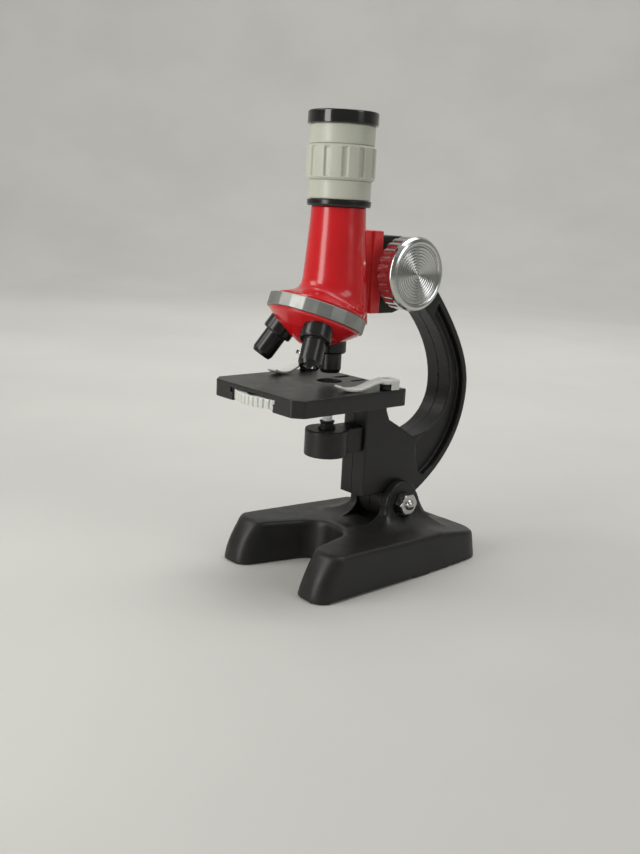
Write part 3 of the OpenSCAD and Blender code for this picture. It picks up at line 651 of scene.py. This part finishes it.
def arm_field(x, y, z):
    """The whole arm: outline, side pockets, pivot bore, rack guide, shaft bore and the lamp's recess."""
    d2 = smin(polygon(y, z, ARM_OUTLINE), np.hypot(y - TILT_Y, z - TILT_Z) - 10.8, 0.5)
    ax = np.abs(x)
    d = both(d2, ax - ARM_HALF, 0.75)
    pocket = polygon(y, z, POCKET)
    d = smax(d, -both(pocket, POCKET_HALF - ax, 0.9), 1.1)
    d = np.maximum(d, -(np.hypot(y - TILT_Y, z - TILT_Z) - BOLT_BORE))
    d = smax(d, -block(x, y, z, (-4.5, 19, 125), (4.5, 26.4, 175), 0.3), 0.3)
    d = smax(d, -block(x, y, z, (-6.4, 22.9, 125), (6.4, 24.4, 175), 0.2), 0.2)
    d = smax(d, -drum(y - FOCUS_Y, z - FOCUS_Z, x, 5.4, -4.6, 4.6, 0.2), 0.2)
    d = np.maximum(d, -(np.hypot(y - FOCUS_Y, z - FOCUS_Z) - 1.86))
    return smax(d, -drum(x, z - LAMP_Z, y, 6.0, 15, 22.4, 0.1), 0.3)


def arm_half(side):
    """One half of the arm's case. The left one has the battery opening and the screw wells."""
    def f(x, y, z):
        d = smax(arm_field(x, y, z), 0.01 - x * side, 0.05)
        if side < 0:
            cover = np.minimum(block(x, y, z, (-10, 25.5, 38.5), (-6.9, 46.5, 67.5), 0.3),
                               block(x, y, z, (-10, 25.5, 60), (-6.9, 37.5, 74.5), 0.3))
            cover = np.minimum(cover, drum(y - DOOR_SCREW[0], z - DOOR_SCREW[1], x, 3.6, -10, -6.9, 0.2))
            d = smax(d, -cover, 0.3)
            for px, py, pz in SCREW_WELLS:
                d = smax(d, -drum(y - py, z - pz, x, 2.3, -12, px, 0.1), 0.25)
        return d
    return f


field_piece("arm_shell_right", arm_half(1), (0, 8, 19), (8.6, 97, 170),
            0.42, BLACK, "arm", ("arm_right",), 0.06)
field_piece("arm_shell_left", arm_half(-1), (-8.6, 8, 19), (0, 97, 170),
            0.42, BLACK, "arm", ("arm_left",), 0.06)


def cover_field(x, y, z):
    """The battery door, with its screw tab and five grip lines."""
    d = np.minimum(block(x, y, z, (-ARM_HALF, 25.7, 38.7), (-7, 46.3, 67.3), 0.35),
                   block(x, y, z, (-ARM_HALF, 25.7, 60), (-7, 37.3, 74.3), 0.35))
    u, v = y - DOOR_SCREW[0], z - DOOR_SCREW[1]
    d = smin(d, drum(u, v, x, 3.4, -ARM_HALF, -7, 0.3), 0.6)
    d = smax(d, -drum(u, v, x, 1.1, -12, -4, 0.1), 0.2)
    for i in range(5):
        d = smax(d, -block(x, y, z, (-12, 32, 44 + 2.4 * i), (-8, 40, 45 + 2.4 * i), 0.2), 0.3)
    return d


field_piece("battery_door", cover_field, (-8.7, 25, 38), (-6.8, 47, 81),
            0.3, BLACK, "arm", ("battery_cover",), 0.05, 0.08)


# ---- Stage ----

STAGE_HALF = 33.4
STAGE_FRONT, STAGE_BACK = -47.9, 21
STAGE_SKIRT = 2.2
STAGE_CEILING = 95.7    # underside of the stage's top plate
CORNER_CUT = 4.6
DIAGONAL = 0.7071


def stage_plan(x, y, inset, r):
    """The stage's outline with cut front corners, drawn in by inset."""
    middle, half_depth = (STAGE_FRONT + STAGE_BACK) / 2, (STAGE_BACK - STAGE_FRONT) / 2
    side = np.abs(x) - (STAGE_HALF - inset)
    plan = both(side, np.abs(y - middle) - (half_depth - inset), r)
    return smax(plan, (side - (y - STAGE_FRONT - inset - CORNER_CUT)) * DIAGONAL, 0.6)


def stage_field(x, y, z):
    """The stage: a plate with a skirt, its front opening for the wheel, light hole, slots and wheel boss."""
    ax = np.abs(x)
    d = both(stage_plan(x, y, 0, 1.6), np.abs(z - 93.7) - 4.2, 0.55)
    inner = stage_plan(x, y, STAGE_SKIRT, 1.0)
    d = smax(d, -np.maximum(inner, z - STAGE_CEILING), 0.4)
    d = smax(d, -block(x, y, z, (-15.5, -60, 80), (15.5, -44.6, STAGE_CEILING), 0.4), 0.4)
    d = smax(d, -block(x, y, z, (-8.8, 17, 80), (8.8, 30, 91.3), 0.2), 0.3)
    d = smax(d, -(np.hypot(x, y) - 6.2), 0.5)
    d = smax(d, -block(ax, y, z, (4.9, 9.0, 80), (7.1, 18.5, 110), 0.3), 0.3)
    # Small step at the top of each front tab
    d = smax(d, -block(ax, y, z, (13.9, -60, 93.4), (17.2, -46.4, 95.75), 0.3), 0.3)
    boss = drum(x, y - WHEEL_Y, z, 2.5, 90.3, 96.5, 0.2)
    return np.minimum(d, smax(boss, -(np.hypot(x, y - WHEEL_Y) - 0.9), 0.1))


field_piece("stage_plate", stage_field, (-34, -49, 89), (34, 22, 98.5),
            0.36, BLACK_SATIN, "arm", ("stage",), 0.1, 0.12)


def post_field(x, y, z):
    """A stepped post for each clip."""
    u, v = np.abs(x) - POST_X, y - POST_Y
    d = np.minimum(drum(u, v, z, 1.15, 92.7, 99, 0.1), drum(u, v, z, 2.9, 97.95, 100.9, 0.3))
    return smin(d, drum(u, v, z, 1.6, 100.5, 102.8, 0.35), 0.2)


field_piece("clip_post_pair", post_field, (-34, 6, 92), (34, 13, 103.3),
            0.25, BLACK, "arm", ("clip_posts",), 0.05, 0.08)

CLIP_TURN = math.radians(11)
# The strap's bends seen from its side, as (distance along it, Z)
CLIP_LINE = [(-0.5, 102.6), (-4, 102.4), (-8, 101.6), (-12, 100.0), (-15.5, 98.95),
             (-18.5, 98.75), (-21, 98.85), (-23.5, 99.3), (-25.4, 99.95), (-26.6, 100.6)]


def clip_field(x, y, z):
    """A springy strap from a hub on the post, down to the stage and up again at its tip."""
    c, s = math.cos(CLIP_TURN), math.sin(CLIP_TURN)
    dx, dy = x - POST_X, y - POST_Y
    u, v = dx * c - dy * s, dx * s + dy * c
    hub = smin(drum(u, v, z, 4.4, 98.15, 103.15, 0.5),
               block(u, v, z, (-4.3, 0, 98.15), (4.3, 5.2, 103.15), 0.5), 0.4)
    room = np.maximum(np.hypot(u, v) - 3.2, z - 101.05)
    open_front = block(u, v, z, (-8, -9, 90), (8, 1, 101.05), 0.3)
    hub = smax(hub, -np.minimum(room, open_front), 0.3)
    line = np.array(CLIP_LINE)
    best = 1e9
    for i in range(len(line) - 1):
        (x1, y1), (x2, y2) = line[i], line[i + 1]
        ex, ey = x2 - x1, y2 - y1
        t = np.clip(((v - x1) * ex + (z - y1) * ey) / (ex * ex + ey * ey), 0, 1)
        best = np.minimum(best, np.hypot(v - x1 - ex * t, z - y1 - ey * t))
    width = 3.3 - 0.35 * np.clip((-v - 18) / 8, 0, 1)
    strap = both(best - 0.62, np.abs(u) - width, 0.35)
    d = smin(hub, strap, 0.9)
    return smax(d, -(np.hypot(u, v) - 1.66), 0.2)


field_piece("clip_strap_right", clip_field, (17, -20, 97.5), (36, 15.5, 104),
            0.24, PEARL, "clip_right", ("stage_clip_right",), 0.05, 0.08)
field_piece("clip_strap_left", lambda x, y, z: clip_field(-x, y, z), (-36, -20, 97.5), (-17, 15.5, 104),
            0.24, PEARL, "clip_left", ("stage_clip_left",), 0.05, 0.08)


WHEEL_NOTCHES = 60
WHEEL_BORE = 2.56
WHEEL_R = 29
SEAT_RING_R = 22        # the filters' centres lie on this circle


def wheel_field(x, y, z):
    """The filter wheel: a notched rim, six filter seats and a hollow underside."""
    u, v = x, y - WHEEL_Y
    r, a = np.hypot(u, v), np.arctan2(v, u)
    step = 2 * math.pi / WHEEL_NOTCHES
    phase = np.abs((a / step) % 1 - 0.5)
    rim = r - WHEEL_R + 0.75 * np.clip((0.18 - phase) / 0.1, 0, 1)
    d = both(rim, np.abs(z - 92.85) - 2.35, 0.3)
    d = smax(d, -(r - WHEEL_BORE), 0.2)
    for i in range(6):
        t = math.radians(90 + 60 * i)
        q = np.hypot(u - SEAT_RING_R * math.cos(t), v - SEAT_RING_R * math.sin(t))
        d = smax(d, -np.minimum(q - 4.4, np.maximum(q - 5.05, 93.6 - z)), 0.2)
    well = np.maximum(np.maximum(r - 15.4, 6 - r), z - 92.9)
    return smax(d, -well, 0.3)


field_piece("filter_wheel_disc", wheel_field, (-29.5, -51.5, 90), (29.5, 7.5, 95.8),
            0.3, PEARL, "filter_wheel", ("filter_wheel",), 0.05, 0.1)


# ---- Lamp ----

LAMP_R, LAMP_HALF = 11, 6.75


def lamp_field(x, y, z):
    """The lamp's drum with its neck and spindle, open below for the mirror and above for the bulb."""
    w = z - LAMP_Z
    d = drum(x, y, w, LAMP_R, -LAMP_HALF, LAMP_HALF, 0.6)
    d = smin(d, block(x, y, w, (-6.5, 4, -6.5), (6.5, 19.25, 6.5), 0.5), 0.6)
    d = np.minimum(d, drum(x, w, y, 5.9, 15, 21.9, 0.15))
    d = np.minimum(d, drum(x, w, y, 3, 19, 30, 0.2))
    d = smax(d, -drum(x, y, w, 9.8, -12, -4.75, 0.1), 0.3)
    return smax(d, -drum(x, y, w, 2.2, 3, 12, 0.1), 0.2)


field_piece("lamp_drum", lamp_field, (-12.2, -12.2, 59.5), (12.2, 30.5, 74),
            0.3, BLACK, "lamp", ("lamp_housing",), 0.05, 0.1)
turned("lamp_collar", [(2.2, 0, 0), (4.3, 0, 0.2), (4.3, 1, 0.4), (3.3, 2.1, 0.8), (3.4, 2.9, 0.6),
                       (4, 4, 0.25), (2.2, 4, 0.1), (2.2, 0, 0)],
       along((0, 0, LAMP_Z + LAMP_HALF)), BLACK, "lamp", ("bulb_collar",), 48)
turned("lamp_bulb", [(0, 0, 0), (2.1, 0, 0.1), (2.1, 9.8, 0.05), (2.5, 9.8, 0.15), (2.5, 10.7, 0.25),
                     (2.35, 10.9, 0.1), (2.5, 11.1, 0.2), (2.5, 12.2, 1.0), (1.9, 13.35, 0.9), (0, 13.6, 0)],
       along((0, 0, LAMP_Z + 1)), BULB, "lamp", ("bulb",), 48)
turned("lamp_reflector", [(0, 0, 0), (9.7, 0, 0.25), (9.7, 1.4, 0.1), (0, 1.4, 0)],
       along((0, 0, LAMP_Z - 6.25)), MIRROR, "lamp", ("lamp_mirror",), 96)


# ---- Tube ----

# The tube's taper as (Z, radius)
TUBE_PROFILE = [(141, 16.2), (146, 15.9), (156, 15.0), (166, 14.2), (174, 13.5), (182, 13.1)]


def tilt_local(x, y, z):
    """Coordinates in the turret's own frame: across, forward-to-back and along its axis."""
    yy, zz = y - TURRET_Y, z - TURRET_Z
    c, s = math.cos(LEAN), math.sin(LEAN)
    return x, yy * c - zz * s, yy * s + zz * c


def tube_field(x, y, z):
    """The red tube, the sloping flare over the nosepiece and the bore."""
    r = np.hypot(x, y)
    radius = np.interp(z, *zip(*TUBE_PROFILE))
    foot_z, foot_r = TUBE_PROFILE[0]
    radius = np.where(z < foot_z, foot_r + (foot_z - z) * 0.06, radius)
    tube = smax((r - radius) * 0.995, z - 182, 0.6)
    u, v, w = tilt_local(x, y, z)
    below = 3.65 - w
    tube = np.maximum(tube, below)
    # A flat cone with a thin rim runs into the tube in a hollow curve.
    out = np.hypot(u, v - 1.6) - 21.4
    flare = both((out + 2.1 * (w - 4.9)) * 0.43, out, 0.15)
    d = smin(tube, np.maximum(flare, w - 12), 6.0)
    d = np.maximum(d, np.minimum(out, tube))
    d = np.maximum(d, below)
    d = np.minimum(d, drum(x, y, z, 11.6, 180, 185, 0.2))
    return smax(d, -drum(x, y, z, 10.6, 139, 200, 0.2), 0.2)


field_piece("tube_body", tube_field, (-24, -36, 124), (24, 20, 186),
            0.42, RED, "tube", ("tube",), 0.04, 0.15)


RACK_LOW, RACK_HIGH = 131.7, 171.7
TOOTH_MODULE = 0.8


def rack_field(x, y, z):
    """The red block behind the tube, its slide and the rack's teeth."""
    d = block(x, y, z, (-8, 4, RACK_LOW), (8, 15.8, RACK_HIGH), 0.5)
    d = smin(d, block(x, y, z, (-10, 15.5, RACK_LOW), (10, 21.7, RACK_HIGH), 0.5), 0.3)
    d = np.minimum(d, block(x, y, z, (-4.2, 18, RACK_LOW), (4.2, 24, RACK_HIGH), 0.2))
    d = np.minimum(d, block(x, y, z, (-6, 23.2, RACK_LOW), (6, 24.1, RACK_HIGH), 0.2))
    pitch = math.pi * TOOTH_MODULE
    t = np.abs(((z - FOCUS_Z) / pitch) % 1 - 0.5)
    tooth = np.maximum(np.maximum((t - 0.13) * pitch - (25.68 - y) * 0.44, y - 25.68), 23.5 - y)
    tooth = np.maximum(np.maximum(tooth, np.abs(x) - 3.9), np.abs(z - 151.7) - 18.2)
    d = np.minimum(d, tooth)
    return smax(d, -(np.hypot(x, y) - 11.7), 0.2)


# The rack slide takes the red with painted light in its colour.
field_piece("rack_slide", rack_field, (-10.5, 3, 131), (10.5, 26, 172.2),
            0.36, RED_PAINTED_LIGHT, "tube", ("rack_block",), 0.05, 0.1)
turned("tube_collar_ring", [(11.7, 182, 0.1), (14.9, 182, 0.5), (15.3, 183, 0.5), (15.3, 185, 0.35),
                            (11.7, 185.3, 0.1), (11.7, 182, 0)],
       UPRIGHT, BLACK_SMOOTH, "tube", ("tube_collar",), 128)

# ---- Eyepiece ----

turned("eyepiece_tube", [(11.4, 185.3, 0.1), (14.6, 185.3, 0.3), (14.9, 186, 0.4), (14.9, 193.9, 0.3),
                         (13.2, 193.9, 0.1), (13.2, 218, 0.1), (11.4, 218, 0.1), (11.4, 185.3, 0)],
       UPRIGHT, WHITE, "tube", ("eyepiece_barrel",), 128)
LOBES = 12
GRIP_R = 16.4


def grip_valley(a, r, z):
    """Narrow valleys between wide lands, fading out near both ends of the grip."""
    phase = ((a - math.radians(9)) / (2 * math.pi / LOBES)) % 1
    off = np.abs(phase - 0.5) * 2 * math.pi * GRIP_R / LOBES
    side = 1 - np.clip((off - 0.85) / 0.9, 0, 1)
    side = side * side * (3 - 2 * side)
    ends = np.clip((z - 194.9) / 1.0, 0, 1) * np.clip((209.1 - z) / 1.0, 0, 1)
    ends = ends * ends * (3 - 2 * ends)
    return np.where(r > 14.6, 1.05, 0) * side * ends


grip_rows = [(13.26, 194, 0.1), (15.2, 194, 0.4), (GRIP_R, 195.1, 0.6)]
grip_rows += [(GRIP_R, 195.1 + 13.8 * k / 28, 0) for k in range(1, 28)]
grip_rows += [(GRIP_R, 208.9, 0.6), (15.2, 210, 0.4), (13.26, 210, 0.1), (13.26, 194, 0)]
turned("zoom_grip_sleeve", grip_rows, UPRIGHT, WHITE, "zoom", ("zoom_grip",),
       LOBES * 40, grip_valley, 4)
turned("eyepiece_upper", [(13.3, 210.1, 0.1), (15.3, 210.1, 0.3), (15.5, 210.8, 0.4), (15.5, 218.5, 0.3),
                          (15.2, 219, 0.2), (13.3, 219, 0.1), (13.3, 210.1, 0)],
       UPRIGHT, WHITE, "tube", ("eyepiece_collar",), 128)
turned("eyecup_cap", [(12, 219, 0.1), (16.6, 219, 0.25), (16.7, 219.6, 0.2), (16.7, 225, 0.9),
                      (9.4, 225, 0.6), (7.2, 223.4, 0.6), (6.5, 223.2, 0.3), (6.5, 221.4, 0.1),
                      (12, 221.4, 0.1), (12, 219, 0)],
       UPRIGHT, BLACK_GLOSS, "tube", ("eyecup",), 128)
turned("eye_lens", [(0, 221.2, 0), (6.4, 221.2, 0.2), (6.4, 222.2, 0.2), (4.4, 222.9, 3), (0, 223.2, 0)],
       UPRIGHT, GLASS, "tube", ("ocular_lens",), 64, steps=8)

# ---- Turret ----

TURRET = along((0, TURRET_Y, TURRET_Z), Matrix.Rotation(-LEAN, 4, "X"))
FACETS = 22
RING_R, RING_HALF = 24.2, 3.25
facet_angles = [2 * math.pi * (i + 0.5) / FACETS for i in range(FACETS)]
ring = [(RING_R * math.cos(a), RING_R * math.sin(a)) for a in facet_angles]
# The grip ring takes the satin plating, which has painted shade in its colour.
flat_ring("turret_grip_ring", ring, -RING_HALF, RING_HALF, TURRET, CHROME_SATIN_PAINTED_SHADE, "turret",
          ("turret_ring",), 0.45, 3, 21.2)
turned("nosepiece_dome", [(2.1, 2.6, 0.1), (21.15, 2.6, 0.1), (21.15, -RING_HALF, 0.1),
                          (22.7, -RING_HALF, 0.2), (22.2, -4.5, 0.8), (15.5, -9.7, 6),
                          (9, -13.4, 6), (5.2, -15.3, 2), (3.6, -15.9, 0.6), (2.1, -15.9, 0.1),
                          (2.1, 2.6, 0)][::-1],
       TURRET, RED, "turret", ("nosepiece",), 128)
APEX_Z = TURRET_Z - TURRET_Y / math.tan(LEAN)     # where the turret and optical axes meet
# The objectives stand round the turret's axis; reach is how far each tip is from the apex
for k, (node, reach) in enumerate((("low", 58.5), ("mid", 61.3), ("high", 62.0))):
    place = (Matrix.Translation((0, 0, APEX_Z)) @ Matrix.Rotation(-LEAN, 4, "X")
             @ Matrix.Rotation(math.radians(120 * k), 4, "Z") @ Matrix.Rotation(LEAN, 4, "X"))
    turned(f"objective_{node}_barrel",
           [(3.5, -reach + 0.5, 0.1), (4.2, -reach, 0.2), (4.55, -reach, 0.25), (5.4, -reach + 1.9, 0.7),
            (5.4, -48.9, 0.3), (5.6, -48.75, 0.15), (6.9, -48.75, 0.45), (7.4, -48.0, 0.45),
            (7.4, -39.1, 0.5), (4.5, -38.6, 0.3), (4.5, -34.5, 0.1), (3.5, -34.5, 0.1),
            (3.5, -reach + 0.5, 0)],
           place, BLACK_SMOOTH, "turret", ("objective_" + node,), 72)

# ---- Focus knobs ----

KNOB_LOBES = 24


def knob_scallop(a, r, z):
    """Round lobes with sharp valleys between them round the grip."""
    off = np.abs((a / (2 * math.pi / KNOB_LOBES)) % 1 - 0.5) * 2
    keep = np.where(r > 16, 1.0, 0.0) * np.clip((9.0 - z) / 0.9, 0, 1)
    return keep * 0.95 * off ** 2.2


# The knob's profile: hub, scalloped grip, smooth rim, then nine turned rings on its face
knob = [(1.8, 0, 0.0), (1.8, -6, 0.1), (5.6, -6, 0.4), (6, -5.4, 0.3), (6, 0.4, 0.3)]
knob += [(16.6, 0.4, 0.4), (17.6, 1.2, 0.6)]
knob += [(17.75, 1.6 + 6.9 * k / 14, 0) for k in range(1, 14)]
knob += [(17.75, 8.9, 0.2), (18, 9.3, 0.25), (18, 11.0, 1.4), (17.0, 12.4, 1.2), (15.6, 12.95, 1.0)]
knob += [(14.6, 12.5, 0.4), (14.2, 11.7, 0.3), (13.8, 11.6, 0.2)]
for i in range(9):
    r = 13.4 - 1.42 * i
    knob += [(r, 11.65, 0.12), (r - 0.45, 12.3, 0.45), (r - 1.05, 11.8, 0.25)]
knob += [(0.6, 12.1, 0.3), (0, 12.25, 0)]
for side, node in ((1, "knob_right"), (-1, "knob_left")):
    turn = Matrix.Rotation(math.radians(90 * side), 4, "Y")
    turned("focus_" + node, knob, along((15.4 * side, FOCUS_Y, FOCUS_Z), turn), CHROME, "focus",
           (node,), KNOB_LOBES * 16, knob_scallop, 4)

# ---- CAD nodes that stay, with better materials ----

KEPT = (("arm_screws", STEEL), ("cover_screw", STEEL), ("button_cells", STEEL), ("battery_contacts", BRASS),
        ("lamp_leads", WIRE), ("lamp_retainer", GREY), ("wheel_screw", STEEL), ("turret_screw", STEEL),
        ("zoom_lens_cell", BLACK), ("zoom_lens", GLASS), ("objective_lenses", GLASS), ("pinion", WHITE),
        ("focus_shaft", STEEL), ("colour_filters", FILTER))
for node, mat in KEPT:
    obj = frame["nodes"][node]
    for s in obj.material_slots:
        s.link = "OBJECT"
        s.material = mat
    if not obj.material_slots:
        obj.data.materials.append(mat)


# ---- Camera, floor and light ----

def camera():
    """The photo's viewpoint, in metres and degrees."""
    az, el, roll = math.radians(48.37), math.radians(13.13), math.radians(3.01)
    forward = Vector((-math.sin(az) * math.cos(el), math.cos(az) * math.cos(el), -math.sin(el)))
    right = Vector((math.cos(az), math.sin(az), 0))
    up = right.cross(forward)
    rolled_right = right * math.cos(roll) + up * math.sin(roll)
    rolled_up = up * math.cos(roll) - right * math.sin(roll)
    data = bpy.data.cameras.new("camera")
    data.lens, data.sensor_width = 39.2, 36
    data.clip_start, data.clip_end = 0.01, 10
    cam = bpy.data.objects.new("camera", data)
    rot = Matrix((rolled_right, rolled_up, -forward)).transposed()
    cam.matrix_world = Matrix.Translation((0.33786, -0.32738, 0.18014)) @ rot.to_4x4()
    bpy.context.scene.collection.objects.link(cam)
    bpy.context.scene.camera = cam


def floor():
    """A pale studio floor that curves up into a wall all round."""
    flat_r, bend_r = 1.5, 1.3
    rows = [(flat_r * k / 10, 0.0) for k in range(11)]
    for k in range(1, 19):
        a = math.radians(5 * k)
        rows.append((flat_r + bend_r * math.sin(a), bend_r - bend_r * math.cos(a)))
    rows += [(flat_r + bend_r, bend_r + 0.4 * k) for k in range(1, 5)]
    seg = 96
    verts, faces = [(0, 0, 0)], []
    for r, z in rows[1:]:
        for k in range(seg):
            a = 2 * math.pi * k / seg
            verts.append((r * math.cos(a), r * math.sin(a), z))
    for k in range(seg):
        faces.append((0, 1 + k, 1 + (k + 1) % seg))
        for i in range(len(rows) - 2):
            a, b = 1 + i * seg, 1 + (i + 1) * seg
            m = (k + 1) % seg
            faces.append((a + k, b + k, b + m, a + m))
    mesh = bpy.data.meshes.new("floor")
    mesh.from_pydata(verts, [], faces)
    for poly in mesh.polygons:
        poly.use_smooth = True
    obj = bpy.data.objects.new("floor", mesh)
    bpy.context.scene.collection.objects.link(obj)
    m = Nodes("floor_paper")
    m.link(m.colours(m.noise(3, 3), (0.505, 0.50, 0.475), (0.545, 0.54, 0.51)), m.shader.inputs["Base Color"])
    m.shader.inputs["Roughness"].default_value = 0.75
    m.bump(m.noise(900, 3), 0.1, 0.00005)
    mesh.materials.append(m.mat)


def light(name, place, target, size, power, colour=(1, 1, 1), size_y=None):
    """A soft rectangular light, in metres and watts, turned towards its target."""
    data = bpy.data.lights.new(name, "AREA")
    data.shape = "RECTANGLE"
    data.size, data.size_y = size, size_y or size
    data.energy = power
    data.color = colour
    obj = bpy.data.objects.new(name, data)
    obj.location = place
    obj.rotation_mode = "QUATERNION"
    obj.rotation_quaternion = (Vector(target) - Vector(place)).to_track_quat("-Z", "Y")
    bpy.context.scene.collection.objects.link(obj)


camera()
floor()
aim = (0, 0, 0.11)
light("strip", (-0.03, -0.55, 0.27), (0, -0.02, 0.12), 0.18, 1.5, (1.0, 0.99, 0.97), 0.5)
light("key", (-0.7, -0.9, 1.1), aim, 0.6, 4.5, (1.0, 0.985, 0.96))
light("side", (1.3, 0.35, 0.8), aim, 0.5, 3.5, (0.97, 0.98, 1.0), 0.9)
light("top", (-0.1, 0.35, 1.4), aim, 1.1, 8.5)
light("wall", (-0.2, 0.3, 1.9), (-2.1, 1.9, 1.0), 0.9, 34)
world = bpy.data.worlds.new("studio")
world.use_nodes = True
world.node_tree.nodes["Background"].inputs["Color"].default_value = (0.93, 0.93, 0.92, 1)
world.node_tree.nodes["Background"].inputs["Strength"].default_value = 0.36
bpy.context.scene.view_settings.view_transform = "Standard"
bpy.context.scene.world = world
